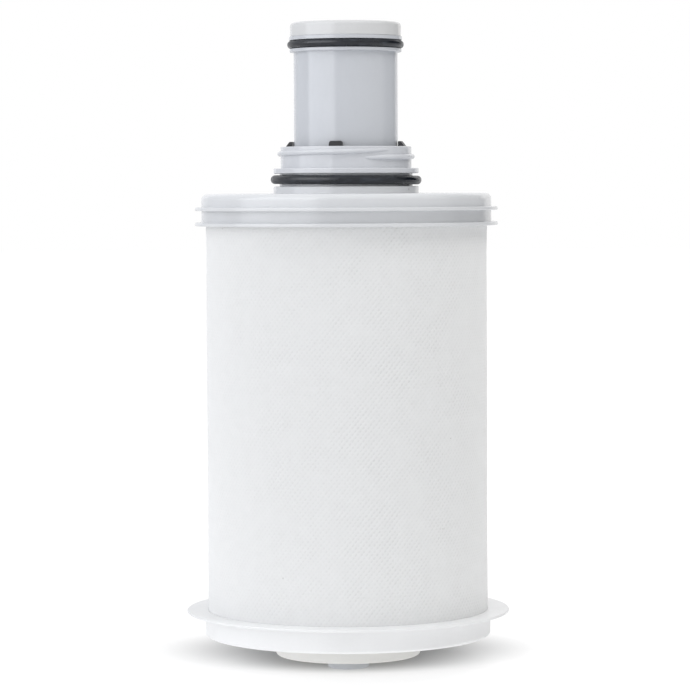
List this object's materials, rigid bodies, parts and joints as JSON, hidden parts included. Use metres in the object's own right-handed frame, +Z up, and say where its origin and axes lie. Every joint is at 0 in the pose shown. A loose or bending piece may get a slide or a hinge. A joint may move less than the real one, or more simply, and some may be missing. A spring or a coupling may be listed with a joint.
{
  "type": "water purifier filter cartridge",
  "caption": "Upright cartridge for a kitchen water purifier: a fabric-wrapped carbon block between two white end caps, with a threaded collar and a sealed lamp neck on top.",
  "frame": {"origin": "middle of the foot's underside, on the cartridge's axis", "axes": "+Z up along the cartridge's axis towards the neck; the front that the picture shows is -Y"},
  "size_m": [0.144, 0.144, 0.2878],
  "materials": {
    "cap_plastic": "glossy moulded",
    "neck_plastic": "glossy moulded",
    "cup_plastic": "satin moulded",
    "hub_plastic": "satin moulded",
    "inner_plastic": "plain moulded",
    "black_plastic": "plain moulded",
    "seal_rubber": "greased, soft sheen",
    "nonwoven": "point-bonded non-woven",
    "carbon": "pressed, matt",
    "bond": "soft set adhesive",
    "quartz": "clear",
    "ceramic": "plain fired",
    "copper": "enamelled copper wire",
    "steel": "drawn",
    "board": "coated laminate",
    "capacitor_case": "dipped"
  },
  "bodies": {
    "root": {"top_end_cap": "cap_plastic", "collar_o_ring": "seal_rubber", "retainer_ring": "black_plastic", "lamp_housing": "neck_plastic", "neck_cap": "neck_plastic", "neck_o_ring": "seal_rubber", "coil_bobbin": "inner_plastic", "pickup_coil": "copper", "coil_leads": "copper", "circuit_board": "board", "resonant_capacitor": "capacitor_case", "id_tag": "black_plastic", "lamp_holder": "inner_plastic", "lamp_leads": "steel", "lamp_base": "ceramic", "uv_lamp": "quartz", "lamp_end_cap": "ceramic", "return_wire": "steel", "lamp_spacer": "steel", "quartz_sleeve": "quartz", "sleeve_o_ring": "seal_rubber", "sleeve_nut": "neck_plastic", "sleeve_cushion": "seal_rubber", "core_tube": "inner_plastic", "carbon_block": "carbon", "prefilter_wrap": "nonwoven", "top_bond_bed": "bond", "bottom_bond_bed": "bond", "bottom_end_cap": "cup_plastic", "bottom_hub": "hub_plastic", "hub_o_ring": "seal_rubber", "foot_plug": "neck_plastic"}
  },
  "joints": []
}
